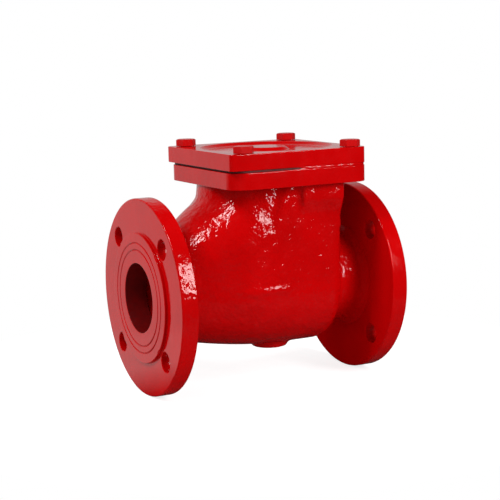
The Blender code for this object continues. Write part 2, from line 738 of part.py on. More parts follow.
def make_split_pin():
    """Wire through the stud: an eye above, a straight leg and an end bent under the stud."""
    centre = (0, stud_radius + split_pin_diameter + split_pin_eye_radius)
    eye = arc(centre, split_pin_eye_radius, -30, 270, 3 * corner_steps)
    bend = split_pin_diameter
    turn_z = -stud_radius - split_pin_diameter
    route = eye + arc((bend, turn_z), bend, 180, 270, corner_steps)
    route.append((bend + split_pin_foot_length, turn_z - bend))
    curve = bpy.data.curves.new("split_pin", "CURVE")
    curve.dimensions = "3D"
    curve.bevel_depth = split_pin_diameter / 2
    curve.bevel_resolution = 2
    curve.use_fill_caps = True
    spline = curve.splines.new("POLY")
    spline.points.add(len(route) - 1)
    for point, (y, z) in zip(spline.points, route):
        point.co = (0, y, z, 1)
    pin = add_object("split_pin", curve, Matrix.Translation((split_pin_x, 0, 0)))
    return finish(pin, bright_steel, 0.3, 1.0)


make_body()
make_cover()
make_gasket()
bolt_names = ("cover_bolt_front_left", "cover_bolt_front_right",
              "cover_bolt_back_left", "cover_bolt_back_right")
for bolt_name, (bolt_x, bolt_y), bolt_turn in zip(bolt_names, cover_bolt_places(), cover_bolt_turns):
    make_cover_bolt(bolt_name, bolt_x, bolt_y, bolt_turn)
make_seat_ring()
make_disc()
make_facing()
make_retainer()
make_retainer_screw()
make_arm()
make_arm_bush("arm_bush_front", -1)
make_arm_bush("arm_bush_back", 1)
make_pin()
make_hinge_block("hinge_block_front", -1)
make_hinge_block("hinge_block_back", 1)
make_washer()
make_nut()
make_split_pin()
bpy.context.view_layer.update()
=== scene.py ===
# %% [markdown]
# # A flanged swing check valve
# This valve lets a fluid pass one way only. A red cast body stands between two pipe flanges, a
# square cover is bolted on top, and inside it a disc hangs from an arm on a pin. The moving parts
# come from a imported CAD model, which is loaded first. What the eye sees, the soft castings, the
# turned flanges and the glossy enamel, is modelled here around it, in metres.

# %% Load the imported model
import math

import bmesh
import bpy
from mathutils import Matrix, Vector


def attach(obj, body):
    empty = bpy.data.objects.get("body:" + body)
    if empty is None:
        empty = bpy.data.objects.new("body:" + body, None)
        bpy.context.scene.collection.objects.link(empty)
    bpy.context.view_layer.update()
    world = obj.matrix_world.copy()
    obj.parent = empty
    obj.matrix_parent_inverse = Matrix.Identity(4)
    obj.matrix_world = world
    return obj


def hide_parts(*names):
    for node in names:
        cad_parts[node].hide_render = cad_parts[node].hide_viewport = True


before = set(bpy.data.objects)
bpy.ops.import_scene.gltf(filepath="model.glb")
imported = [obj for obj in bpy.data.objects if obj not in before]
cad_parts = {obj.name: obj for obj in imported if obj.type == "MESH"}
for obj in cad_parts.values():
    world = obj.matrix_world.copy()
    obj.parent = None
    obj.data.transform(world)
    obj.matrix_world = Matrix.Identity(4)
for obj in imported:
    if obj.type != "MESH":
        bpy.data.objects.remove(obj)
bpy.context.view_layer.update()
scene = bpy.context.scene

# %% [markdown]
# The main sizes are the ones that the CAD model was drawn with. The pipe runs along X, the
# inlet is at +X, and the flange nearest to the viewer is the outlet, at -X.

# %% Sizes of the casting and the flanges
half_length = 0.120
bore_radius = 0.0325
flange_radius = 0.0925
flange_thickness = 0.019
flange_back = half_length - flange_thickness
raised_face_radius = 0.061
raised_face_height = 0.003
groove_radii = (0.0515, 0.0450)
bolt_circle_radius = 0.0725
bolt_hole_radius = 0.0095
wall = 0.0085
barrel_radius = 0.0582
barrel_end_x = 0.070
outlet_neck_radius = bore_radius + wall
inlet_neck_radius = 0.044
chamber_end_x = barrel_end_x - wall
print("face to face:", 2 * half_length, "flange:", 2 * flange_radius)

# %% [markdown]
# Every new piece starts from a bmesh operator. A few helpers do the common jobs: they link a
# finished bmesh to the scene, apply a piece's modifiers, join and cut shapes, spin a profile
# about an axis as a lathe does, make a box with rounded edges, and shade a piece.

# %% Helpers for making pieces
def link(name, bm):
    """Make an object at the origin from a bmesh."""
    bmesh.ops.recalc_face_normals(bm, faces=bm.faces)
    mesh = bpy.data.meshes.new(name)
    bm.to_mesh(mesh)
    bm.free()
    piece = bpy.data.objects.new(name, mesh)
    scene.collection.objects.link(piece)
    return piece


def settle(piece):
    """Apply a piece's modifiers."""
    depsgraph = bpy.context.evaluated_depsgraph_get()
    mesh = bpy.data.meshes.new_from_object(piece.evaluated_get(depsgraph))
    piece.modifiers.clear()
    piece.data = mesh
    return piece


def combine(piece, other, operation):
    """Join another shape to a piece, or cut it out, and remove the other shape."""
    boolean = piece.modifiers.new("combine", "BOOLEAN")
    boolean.operation = operation
    boolean.solver = "EXACT"
    boolean.object = other
    settle(piece)
    bpy.data.objects.remove(other, do_unlink=True)
    return piece


def spun(name, profile, steps, axis=(1, 0, 0), centre=(0, 0, 0)):
    """Spin a closed profile of (distance along the axis, radius) points."""
    bm = bmesh.new()
    axis = Vector(axis)
    out = Vector((0, 0, 1)) if abs(axis.z) < 0.5 else Vector((1, 0, 0))
    points = [bm.verts.new(Vector(centre) + axis * along + out * radius) for along, radius in profile]
    lines = [bm.edges.new(pair) for pair in zip(points, points[1:] + points[:1])]
    bmesh.ops.spin(bm, geom=points + lines, cent=centre, axis=axis, angle=2 * math.pi,
                   steps=steps, use_merge=True, use_duplicate=False)
    bmesh.ops.remove_doubles(bm, verts=bm.verts, dist=1e-6)
    loose = [edge for edge in bm.edges if not edge.link_faces]
    bmesh.ops.delete(bm, geom=loose, context="EDGES")
    return link(name, bm)


def box(name, low, high, upright_radii=(0.0, 0.0), edge_radius=0.0):
    """A box whose upright edges are rounded first, those at -X and at +X, and then the others."""
    low, high = Vector(low), Vector(high)
    bm = bmesh.new()
    stretch = Matrix.Diagonal((*(high - low), 1))
    bmesh.ops.create_cube(bm, size=1, matrix=Matrix.Translation((low + high) / 2) @ stretch)
    middle = (low.x + high.x) / 2
    for end, radius in zip((-1, 1), upright_radii):
        upright = [e for e in bm.edges if abs(e.verts[0].co.z - e.verts[1].co.z) > 1e-6
                   and end * (e.verts[0].co.x - middle) > (high.x - low.x) * 0.49]
        if radius:
            bmesh.ops.bevel(bm, geom=upright, offset=radius, segments=10, affect="EDGES",
                            profile=0.5, material=-1)
    if edge_radius:
        sharp = [e for e in bm.edges if e.calc_face_angle(0) > math.radians(60)]
        bmesh.ops.bevel(bm, geom=sharp, offset=edge_radius, segments=3, affect="EDGES",
                        profile=0.5, material=-1)
    return link(name, bm)


def arc(centre, radius, start, end, steps):
    """Points along an arc, with its angles in degrees."""
    turns = [math.radians(start + (end - start) * k / steps) for k in range(steps + 1)]
    return [(centre[0] + radius * math.cos(a), centre[1] + radius * math.sin(a)) for a in turns]


def smooth_shade(piece, angle=38):
    """Smooth shading with sharp edges by angle, and flat faces kept flat."""
    piece.data.shade_smooth()
    piece.data.set_sharp_from_angle(angle=math.radians(angle))
    weighted = piece.modifiers.new("weighted", "WEIGHTED_NORMAL")
    weighted.keep_sharp = True
    return piece


def share(value, low, high):
    """How far a value is on its way from low to high, from 0 to 1."""
    return min(max((value - low) / (high - low), 0.0), 1.0)


print("helpers ready")

# %% [markdown]
# ## The body casting
# The real body is an iron casting: a barrel that swells from the outlet flange, a square-ended
# neck on top, and pads where the hinge pin sits. Iron shrinks and flows in the mould, so every
# inner corner has a fillet and every outer edge is a little round. The shapes are roughly put
# together here, and a voxel remesh fuses them. Growing the fused shape, remeshing it and
# shrinking it again leaves a fillet in each inner corner, which a bevel can't do on shapes that
# cross at changing angles.

# %% Loft of the barrel
def eased(value, low, high):
    """Like share, with a soft start and a soft end."""
    part = share(value, low, high)
    return part * part * (3 - 2 * part)


slim_neck_radius = 0.0445
swell_start_x, swell_end_x = -0.099, -0.010
belly_x, arch_x = 0.024, -0.020
arch_top = 0.096
shoulder_height, shoulder_start_x, shoulder_end_x = 0.029, -0.055, -0.015


def barrel_section(x, inset):
    """Width, depth, height of the straight sides, and top, of the barrel at x.

    The sides swell out of a slim neck behind the flange. Outside, the arch also stands taller where
    the cover's neck begins, and the sides go straight up beside the seat.
    """
    def rise(full_x):
        return math.sin(math.pi / 2 * share(x, -flange_back, full_x))

    width = slim_neck_radius + (barrel_radius - slim_neck_radius) * eased(x, swell_start_x, swell_end_x)
    depth = outlet_neck_radius + (barrel_radius - outlet_neck_radius) * rise(belly_x)
    top = outlet_neck_radius + (arch_top - outlet_neck_radius) * rise(arch_x)
    side = 0.002 + 0.060 * rise(arch_x)
    if inset < wall / 2:
        top += shoulder_height * eased(x, shoulder_start_x, shoulder_end_x)
        side += -0.014 * rise(arch_x) + 0.052 * eased(x, -0.010, 0.014)
    return width - inset, depth - inset, side, top - inset


def barrel_loft(name, stations, steps=128):
    """Bridge rings that are bent to the barrel's sections."""
    bm = bmesh.new()
    rims = []
    for x, inset in stations:
        width, depth, side, top = barrel_section(x, inset)
        ring = bmesh.ops.create_circle(bm, cap_ends=False, radius=1, segments=steps)["verts"]
        rims.append(list({edge for vert in ring for edge in vert.link_edges}))
        for vert in ring:
            across, up = vert.co.x, vert.co.y
            high = side + (top - side) * up if up > 1e-6 else depth * up
            vert.co = (x, width * across, high)
    for near, far in zip(rims, rims[1:]):
        bmesh.ops.bridge_loops(bm, edges=near + far)
    bmesh.ops.holes_fill(bm, edges=bm.edges, sides=0)
    return link(name, bm)


def barrel_stations(start_x, end_x, inset, edge_radius, count):
    """Even stations, closed by a rounded edge at the inlet end."""
    straight_end = end_x - edge_radius
    step = (straight_end - start_x) / count
    stations = [(start_x + step * k, inset) for k in range(count + 1)]
    for k in range(1, 9):
        turn = math.pi / 2 * k / 8
        stations.append((straight_end + edge_radius * math.sin(turn),
                         inset + edge_radius * (1 - math.cos(turn))))
    return stations


casting = barrel_loft("valve_casting", barrel_stations(-0.105, barrel_end_x, 0, 0.014, 48))
print("barrel faces:", len(casting.data.polygons))

# %% [markdown]
# The neck is a half cylinder towards the outlet and a square end over the seat wall, and it
# narrows upwards, because the pattern has to come out of the sand. It is made of a cone and a
# tapered box that share their sides, in two levels: a band that grows out of the barrel, and a
# slightly narrower neck that carries the square flange under the cover.

# %% Shapes that are fused with the barrel
def neck_parts(name, foot, head, end_x, low, high, corner):
    """Foot and head are radii at the low and high ends; the round part's centre is at x 1 mm."""
    bm = bmesh.new()
    centre_x = 0.001
    place = Matrix.Translation((centre_x, 0, (low + high) / 2))
    bmesh.ops.create_cone(bm, cap_ends=True, segments=128, radius1=foot, radius2=head,
                          depth=high - low, matrix=place)
    half = link(name + "_round", bm)
    square = box(name + "_square", (centre_x, -foot, low), (end_x, foot, high), (0, corner))
    for vert in square.data.vertices:
        if vert.co.z > (low + high) / 2:
            vert.co.y *= head / foot
    return [half, square]


def hinge_pad(name, side):
    """Thick wall outside a hinge pocket, which slopes back into the barrel below."""
    bm = bmesh.new()
    low, high = Vector((0.022, 0.0535, 0.0665)), Vector((0.0668, 0.0638, 0.104))
    slope_start = 0.0865
    stretch = Matrix.Diagonal((*(high - low), 1))
    bmesh.ops.create_cube(bm, size=1, matrix=Matrix.Translation((low + high) / 2) @ stretch)
    bmesh.ops.bisect_plane(bm, geom=bm.verts[:] + bm.edges[:] + bm.faces[:], dist=1e-6,
                           plane_co=(0, 0, slope_start), plane_no=(0, 0, 1))
    foot = [v for v in bm.verts if v.co.z < slope_start - 0.001 and v.co.y > 0.06]
    bmesh.ops.translate(bm, vec=(0, -0.0085, 0), verts=foot)
    rim = [e for e in bm.edges if max(v.co.y for v in e.verts) > 0.063
           and e.calc_face_angle(0) > math.radians(60)]
    bmesh.ops.bevel(bm, geom=rim, offset=0.0022, segments=4, affect="EDGES", profile=0.5,
                    material=-1)
    bmesh.ops.scale(bm, vec=(1, side, 1), verts=bm.verts)
    return link(name, bm)


def flange_root(name, end, radius, blend, neck_end):
    """A flange's neck, with the fillet that spreads it onto the back of the flange."""
    face = flange_back - 0.0001
    centre = (face - blend, radius + blend)
    profile = [(flange_back + 0.003, 0), (flange_back + 0.003, radius + blend), (face, radius + blend)]
    profile += arc(centre, blend, 0, -90, 10)[1:]
    profile += [(neck_end, radius), (neck_end, 0)]
    return spun(name, [(end * along, r) for along, r in profile], 128)


plate_low, plate_high = 0.1005, 0.1160
parts = neck_parts("neck_band", 0.0582, 0.0542, 0.0696, 0.058, 0.0870, 0.010)
parts += neck_parts("neck", 0.0567, 0.0520, 0.0681, 0.058, 0.104, 0.010)
parts += [hinge_pad("front_pad", -1), hinge_pad("back_pad", 1)]
parts.append(flange_root("inlet_root", 1, inlet_neck_radius, 0.007, 0.060))
parts.append(flange_root("outlet_root", -1, slim_neck_radius, 0.007, 0.090))
bm = bmesh.new()
bmesh.ops.create_cone(bm, cap_ends=True, segments=64, radius1=0.0173, radius2=0.0185, depth=0.008,
                      matrix=Matrix.Translation((0.0162, 0, -0.0575)))
parts.append(link("drain_boss", bm))
print("shapes to fuse:", len(parts) + 1)

# %% [markdown]
# A raised arrow on the barrel shows the way of the flow, as on most check valves. It is a flat
# arrow pushed through a slightly swollen copy of the barrel: what both hold in common is an
# arrow that follows the barrel's curve.

# %% Flow arrow
def flow_arrow(side):
    """An arrow that follows the barrel on one side, 1.1 mm proud of it."""
    proud = 0.0011
    bm = bmesh.new()
    tail_x, neck_x, tip_x = 0.009, -0.021, -0.038
    half_shaft, half_head, middle = 0.0022, 0.0062, 0.0035
    outline = [(tail_x, half_shaft), (neck_x, half_shaft), (neck_x, half_head), (tip_x, 0),
               (neck_x, -half_head), (neck_x, -half_shaft), (tail_x, -half_shaft)]
    flat = bm.faces.new([bm.verts.new((x, side * 0.050, z + middle)) for x, z in outline])
    pulled = bmesh.ops.extrude_face_region(bm, geom=[flat])["geom"]
    bmesh.ops.translate(bm, vec=(0, side * 0.02, 0),
                        verts=[item for item in pulled if isinstance(item, bmesh.types.BMVert)])
    arrow = link("flow_arrow", bm)
    swollen = barrel_loft("swollen_barrel", barrel_stations(-0.09, barrel_end_x, -proud, 0.014, 24))
    return combine(arrow, swollen, "INTERSECT")


parts += [flow_arrow(-1), flow_arrow(1)]
print("arrow faces:", len(parts[-1].data.polygons))

# %% Fuse the shapes and let the fillets form
def fuse(piece, others, voxel, fillet, polish):
    """Join overlapping shapes, fill inner corners, round outer edges."""
    bm = bmesh.new()
    for shape in [piece] + others:
        bm.from_mesh(shape.data)
    bm.to_mesh(piece.data)
    bm.free()
    for shape in others:
        bpy.data.objects.remove(shape, do_unlink=True)
    for number, grow in enumerate((fillet, -fillet, 0)):
        remesh = piece.modifiers.new(f"fuse_{number}", "REMESH")
        remesh.mode = "VOXEL"
        remesh.voxel_size = voxel
        remesh.use_smooth_shade = True
        if grow:
            displace = piece.modifiers.new(f"grow_{number}", "DISPLACE")
            displace.strength = grow
            displace.mid_level = 0
    smooth = piece.modifiers.new("polish", "SMOOTH")
    smooth.factor = 0.5
    smooth.iterations = polish
    return settle(piece)


fuse(casting, parts, voxel=0.0013, fillet=0.0017, polish=2)
plate_start_x, plate_end_x, plate_half_width = -0.05375, 0.0890, 0.0722
plate = box("bonnet_plate", (plate_start_x, -plate_half_width, plate_low),
            (plate_end_x, plate_half_width, plate_high), (0.017, 0.013), 0.0007)
combine(casting, plate, "UNION")
print("casting faces:", len(casting.data.polygons))

# %% [markdown]
# The inside follows the CAD model: an open chamber, the neck's opening, two pockets that the
# hinge blocks drop into, the bores of both flanges, the seat ring's recess and the tapped holes
# of the cover's screws. The cutters are joined first, so that the fine casting is cut only once.
# A core makes these hollows in the real casting, and the bores and holes are machined.

# %% Hollow out the casting
clear = 0.0003
bonnet_x = 0.0178
cover_bolt_places = [(bonnet_x + 0.056 * sx, 0.062 * sy) for sy in (-1, 1) for sx in (-1, 1)]
cover_bolt_labels = ("front_left", "front_right", "back_left", "back_right")
past_plate = plate_high + 0.004


def rod(name, radius, low, high, place=(0, 0), steps=48):
    """An upright cylinder."""
    bm = bmesh.new()
    bmesh.ops.create_cone(bm, cap_ends=True, segments=steps, radius1=radius, radius2=radius,
                          depth=high - low, matrix=Matrix.Translation((*place, (low + high) / 2)))
    return link(name, bm)


hollow = barrel_loft("hollow", barrel_stations(-0.0985, chamber_end_x, wall, 0.005, 32))
for shape in neck_parts("opening", 0.0483, 0.0483, 0.0611, 0.054, past_plate, 0.005):
    combine(hollow, shape, "UNION")
for side in (-1, 1):
    low_y, high_y = sorted((side * 0.045, side * 0.0553))
    combine(hollow, box("pocket", (0.0300, low_y, 0.0587), (0.0460, high_y, past_plate)), "UNION")
past, bore = half_length + 0.004, bore_radius + clear
outlet_bore_end, seat_back, seat_radius = -0.0965, 0.0683, 0.0383
outlet_bore = [(-past, 0), (-past, bore), (outlet_bore_end, bore), (outlet_bore_end, 0)]
inlet_bore = [(past, 0), (past, bore), (seat_back, bore), (seat_back, seat_radius),
              (chamber_end_x - 0.004, seat_radius), (chamber_end_x - 0.004, 0)]
for name, profile in (("outlet_bore", outlet_bore), ("inlet_bore", inlet_bore)):
    combine(hollow, spun(name, profile, 96), "UNION")
for place in cover_bolt_places:
    combine(hollow, rod("tapped_hole", 0.0053, 0.1035, past_plate, place), "UNION")
combine(casting, hollow, "DIFFERENCE")
# Bore faces take the second finish, the darker bore coat, which also paints their shade.
for face in casting.data.polygons:
    if math.hypot(face.center.y, face.center.z) < bore_radius + 0.0006:
        face.material_index = 1
smooth_shade(casting, 50)
print("casting triangles:", sum(len(face.vertices) - 2 for face in casting.data.polygons))

# %% [markdown]
# ## The pipe flanges
# The flanges are part of the same casting, but they are faced, grooved and drilled on machines,
# so they are crisp where the casting is soft. Each is one closed profile that is spun about the
# pipe's centre line. The raised face with its two fine grooves is where the pipe's gasket bears.
# The drills are spun too, with a small chamfer, and sit either side of the centre lines.

# %% Turned and drilled flanges
def rounded(centre, radius, start, end):
    """A small quarter round."""
    return arc(centre, radius, start, end, 4)


def pipe_flange(name, end):
    """A flange with its raised face, grooves and four bolt holes; end is -1 or 1 along the pipe."""
    edge, groove, step = 0.0016, 0.0009, 0.0008
    face = half_length - raised_face_height
    profile = [(flange_back, bore_radius), (half_length - 0.001, bore_radius),
               (half_length - 0.0003, bore_radius + 0.0003), (half_length, bore_radius + 0.001)]
    for middle in sorted(groove_radii):
        profile += [(half_length, middle - groove), (half_length - groove, middle),
                    (half_length, middle + groove)]
    profile += rounded((half_length - step, raised_face_radius - step), step, 0, 90)
    profile += rounded((face + step, raised_face_radius + step), step, 270, 180)
    profile += rounded((face - edge, flange_radius - edge), edge, 0, 90)
    profile += rounded((flange_back + edge, flange_radius - edge), edge, 90, 180)
    flange = spun(name, [(end * along, radius) for along, radius in profile], 160)
    drill = [(face + 0.004, 0), (face + 0.004, bolt_hole_radius + 0.0046),
             (face - 0.0006, bolt_hole_radius), (flange_back + 0.0006, bolt_hole_radius),
             (flange_back - 0.004, bolt_hole_radius + 0.0046), (flange_back - 0.004, 0)]
    for k in range(4):
        turn = math.radians(45 + 90 * k)
        centre = (0, bolt_circle_radius * math.cos(turn), bolt_circle_radius * math.sin(turn))
        cutter = spun("drill", [(end * along, radius) for along, radius in drill], 40, centre=centre)
        combine(flange, cutter, "DIFFERENCE")
    # Bore faces take the second finish, the darker bore coat, which also paints their shade.
    for face in flange.data.polygons:
        if math.hypot(face.center.y, face.center.z) < bore_radius + 0.0002:
            face.material_index = 1
    return flange


outlet_flange = smooth_shade(pipe_flange("outlet_flange", -1))
inlet_flange = smooth_shade(pipe_flange("inlet_flange", 1))
print("flange faces:", len(outlet_flange.data.polygons))

# %% [markdown]
# ## The cover
# A square cast lid closes the top of the body, and lifting it off gives access to the disc. Its
# top has a shallow round recess with a flat boss in the middle. The lid's edges are ground after
# casting, so it is crisper than the body: a box with small bevels, out of which a spun ring with
# rounded corners cuts the recess. The boss keeps a sloped side.

# %% Cover casting
cover_low, cover_high = 0.1181, 0.1332
recess_radius, boss_radius, recess_floor = 0.063, 0.0215, 0.1302
lid = box("cover_casting", (-0.0552, -0.0718, cover_low), (0.0862, 0.0718, cover_high),
          (0.006, 0.006), 0.0006)
ring = [(cover_high + 0.004, recess_radius + 0.0060), (cover_high, recess_radius + 0.0010),
        (cover_high - 0.0004, recess_radius + 0.0003), (recess_floor + 0.0007, recess_radius - 0.0030),
        (recess_floor + 0.0001, recess_radius - 0.0046), (recess_floor, recess_radius - 0.0060),
        (recess_floor, boss_radius + 0.0012), (recess_floor + 0.0003, boss_radius + 0.0004),
        (cover_high - 0.0004, boss_radius - 0.0026), (cover_high, boss_radius - 0.0036),
        (cover_high + 0.004, boss_radius - 0.0076)]
combine(lid, spun("recess", ring, 128, axis=(0, 0, 1), centre=(bonnet_x, 0, 0)), "DIFFERENCE")
for shape in neck_parts("spigot", 0.0478, 0.0478, 0.0605, 0.1141, cover_low + 0.004, 0.005):
    combine(lid, shape, "UNION")
for place in cover_bolt_places:
    combine(lid, rod("screw_hole", 0.0058, 0.110, 0.138, place, 32), "DIFFERENCE")
smooth_shade(lid, 30)
print("cover triangles:", sum(len(face.vertices) - 2 for face in lid.data.polygons))

# %% [markdown]
# Four hexagon-head screws hold the cover down. They were painted over with the rest. A hexagon
# bar is cut to the shape of a shallow cone on top, which gives a real head's curved chamfer.

# %% Cover screws
def cover_screw(name, place, turn):
    """A hexagon-head screw in its hole, with its head turned by some degrees."""
    low, high, flats = 0.1335, 0.1399, 0.017
    corner = flats / math.sqrt(3)
    bm = bmesh.new()
    turned = Matrix.Rotation(math.radians(30 - turn), 4, "Z")
    bmesh.ops.create_cone(bm, cap_ends=True, segments=6, radius1=corner, radius2=corner, depth=high - low,
                          matrix=Matrix.Translation((*place, (low + high) / 2)) @ turned)
    screw = link(name, bm)
    cap = [(low - 0.001, 0), (low - 0.001, corner + 0.001), (high - 0.0013, corner + 0.001),
           (high + 0.0002, flats / 2 - 0.0006), (high + 0.0002, 0)]
    combine(screw, spun("cap", cap, 64, axis=(0, 0, 1), centre=(*place, 0)), "INTERSECT")
    combine(screw, rod("shank", 0.005, 0.1045, low + 0.002, place, 32), "UNION")
    bevel = screw.modifiers.new("soft_edges", "BEVEL")
    bevel.width = 0.0004
    bevel.segments = 3
    bevel.angle_limit = math.radians(30)
    settle(screw)
    return smooth_shade(screw)


screws = []
for label, place, turn in zip(cover_bolt_labels, cover_bolt_places, (8, 20, 13, 17)):
    screws.append(cover_screw("screw_" + label, place, turn))
print("screw faces:", [len(screw.data.polygons) for screw in screws])

# %% [markdown]
# The cover's joint was painted over as well. The enamel fills the gap on the right-hand half of
# the front and back and on the right side. Towards the left it sinks in, and the gap stays open
# on the left side. The film starts as the upright sides of a box with round corners, cut open at
# the left; rows of vertices bend it, and it gets a wall inwards.

# %% Enamel film over the joint
def joint_film(start_x, low, high):
    """A thin sheet round the joint, which stands out at the right and sinks in towards start_x."""
    end_x, half_width, corner = 0.0870, 0.0715, 0.010
    bm = bmesh.new()
    size = Vector((end_x + 0.07, 2 * half_width, high - low))
    middle = Vector((end_x - size.x / 2, 0, (low + high) / 2))
    bmesh.ops.create_cube(bm, size=1, matrix=Matrix.Translation(middle) @ Matrix.Diagonal((*size, 1)))
    bmesh.ops.bisect_plane(bm, geom=bm.verts[:] + bm.edges[:] + bm.faces[:], dist=1e-6,
                           plane_co=(start_x, 0, 0), plane_no=(1, 0, 0), clear_inner=True)
    level = [face for face in bm.faces if abs(face.normal.z) > 0.5]
    bmesh.ops.delete(bm, geom=level, context="FACES")
    upright = [e for e in bm.edges if abs(e.verts[0].co.z - e.verts[1].co.z) > 1e-6
               and e.verts[0].co.x > end_x - 0.001]
    bmesh.ops.bevel(bm, geom=upright, offset=corner, segments=8, affect="EDGES", profile=0.5,
                    material=-1)
    upright = [e for e in bm.edges if abs(e.verts[0].co.z - e.verts[1].co.z) > 1e-6]
    bmesh.ops.subdivide_edges(bm, edges=upright, cuts=4, use_grid_fill=True)
    along = [e for e in bm.edges if abs(e.verts[0].co.x - e.verts[1].co.x) > 0.05]
    bmesh.ops.subdivide_edges(bm, edges=along, cuts=110, use_grid_fill=True)
    for vert in bm.verts:
        x, lift = vert.co.x * 1000, (vert.co.z - low) / (high - low)
        bulge = math.sin(math.pi * lift)
        proud = -0.0026 + 0.0030 * share(vert.co.x, -0.012, 0.026)
        wander = 0.00010 * math.sin(0.55 * x) + 0.00007 * math.sin(1.9 * x + 1.0)
        push = bulge * (proud + wander)
        away = Vector((max(vert.co.x - (end_x - corner), 0.0),
                       math.copysign(max(abs(vert.co.y) - (half_width - corner), 0.0), vert.co.y), 0))
        vert.co += away.normalized() * push
    bmesh.ops.recalc_face_normals(bm, faces=bm.faces)
    bmesh.ops.solidify(bm, geom=bm.faces[:], thickness=0.002)
    film = link("joint_film", bm)
    film.data.shade_smooth()
    return film


film = joint_film(-0.040, plate_high - 0.0003, cover_low + 0.0003)
low_y = min(vert.co.y for vert in film.data.vertices)
print("film faces:", len(film.data.polygons), "lowest y:", round(low_y, 5))

# %% [markdown]
# ## Materials
# Everything outside wears one coat of thick, glossy red enamel, sprayed on a sand casting. Its
# colour is nearly even, so what tells the surfaces apart is their relief: the casting has low
# bumps a few millimetres wide with a finer orange peel over them, and the machined faces have
# little more than the orange peel. All patterns are measured in metres on the object itself, so
# they stay on it in any pose.

# %% Helpers for materials
def new_material(name, roughness=0.3, metallic=0.0, ior=1.5):
    """A material with a plain surface shader."""
    material = bpy.data.materials.new(name)
    material.use_nodes = True
    shader = material.node_tree.nodes["Principled BSDF"]
    shader.inputs["Roughness"].default_value = roughness
    shader.inputs["Metallic"].default_value = metallic
    shader.inputs["IOR"].default_value = ior
    return material


def add(material, kind, **values):
    """Add a node; a value goes to the input of that name, as a link if it is a socket."""
    tree = material.node_tree
    made = tree.nodes.new(kind)
    for key, value in values.items():
        name = key.replace("_", " ")
        if hasattr(made, key) and name not in made.inputs:
            setattr(made, key, value)
        elif isinstance(value, bpy.types.NodeSocket):
            tree.links.new(value, made.inputs[name])
        else:
            made.inputs[name].default_value = value
    return made


def noise(material, size, detail=2.0, roughness=0.5, place=None):
    """A noise pattern whose features are about so many metres wide."""
    if place is None:
        place = add(material, "ShaderNodeTexCoord").outputs["Object"]
    pattern = add(material, "ShaderNodeTexNoise", Vector=place, Scale=1 / size, Detail=detail,
                  Roughness=roughness)
    return pattern.outputs["Fac"]


def spread(material, value, low, high, from_low=0.3, from_high=0.7):
    """Stretch a value's range to low and high, and stop it there."""
    ranged = add(material, "ShaderNodeMapRange", Value=value)
    for name, number in (("From Min", from_low), ("From Max", from_high), ("To Min", low), ("To Max", high)):
        ranged.inputs[name].default_value = number
    return ranged.outputs["Result"]


def blend(material, factor, first, second):
    """Mix two colours, each a socket or three numbers."""
    mix = add(material, "ShaderNodeMix", data_type="RGBA")
    material.node_tree.links.new(factor, mix.inputs["Factor"])
    for socket, colour in ((mix.inputs[6], first), (mix.inputs[7], second)):
        if isinstance(colour, bpy.types.NodeSocket):
            material.node_tree.links.new(colour, socket)
        else:
            socket.default_value = (*colour, 1)
    return mix.outputs[2]


def combined(material, operation, first, second):
    """Multiply two values, or take the larger one."""
    made = add(material, "ShaderNodeMath", operation=operation)
    for socket, value in zip(made.inputs, (first, second)):
        if isinstance(value, bpy.types.NodeSocket):
            material.node_tree.links.new(value, socket)
        else:
            socket.default_value = value
    return made.outputs["Value"]


def relief(material, layers):
    """Chain bump nodes from (height socket, depth in metres) pairs, and give the last normal."""
    normal = None
    for height, depth in layers:
        bump = add(material, "ShaderNodeBump", Height=height, Distance=depth, Strength=1.0)
        if normal is not None:
            material.node_tree.links.new(normal, bump.inputs["Normal"])
        normal = bump.outputs["Normal"]
    return normal


def feed(material, **sockets):
    """Link values to the surface shader's inputs of those names."""
    shader = material.node_tree.nodes["Principled BSDF"]
    for key, socket in sockets.items():
        material.node_tree.links.new(socket, shader.inputs[key.replace("_", " ")])
    return material


print("material helpers ready")

# %% Red enamel, on the casting and on machined faces
red, deep_red = (0.48, 0.0008, 0.0014), (0.42, 0.0006, 0.0010)
usual_sheen, calm_share = 0.5, 0.12


def below_plate(material, place):
    """Full bumps on the casting, and a calm surface from the bonnet plate upwards."""
    height = add(material, "ShaderNodeSeparateXYZ", Vector=place).outputs["Z"]
    return spread(material, height, 1.0, 0.15, 0.097, 0.102)


def on_the_rim(material, place):
    """Full bumps on a flange's cast rim, and calm turned faces."""
    across = add(material, "ShaderNodeVectorMath", operation="MULTIPLY")
    material.node_tree.links.new(place, across.inputs[0])
    across.inputs[1].default_value = (0, 1, 1)
    radius = add(material, "ShaderNodeVectorMath", operation="LENGTH", Vector=across.outputs["Vector"])
    return spread(material, radius.outputs["Value"], calm_share, 1.0, 0.0905, 0.0920)


# Painted shade: the gloss is taken off the inlet flange's inner face, where the barrel blocks the light.
def painted_shade_on_inner_side(material, place):
    """Painted shade: no sheen on the flange's side that faces the barrel and lies in its shade, and the
    usual sheen on rim and outer faces.
    """
    outward = add(material, "ShaderNodeSeparateXYZ", Vector=place).outputs["X"]
    outer = spread(material, outward, 0.0, usual_sheen, flange_back + 0.0003, flange_back + 0.0012)
    rim = spread(material, on_the_rim(material, place), 0.0, usual_sheen, calm_share, 1.0)
    return combined(material, "MAXIMUM", outer, rim)


# Painted shade: the gloss is nearly taken off the casting's fillet in front of the inlet flange.
def painted_shade_on_inlet_root(material, place):
    """Painted shade: the usual sheen on the casting, and little on its fillet in front of the inlet flange,
    which lies in the barrel's shade.
    """
    outward = add(material, "ShaderNodeSeparateXYZ", Vector=place).outputs["X"]
    return spread(material, outward, usual_sheen, 0.05, 0.0870, 0.0910)


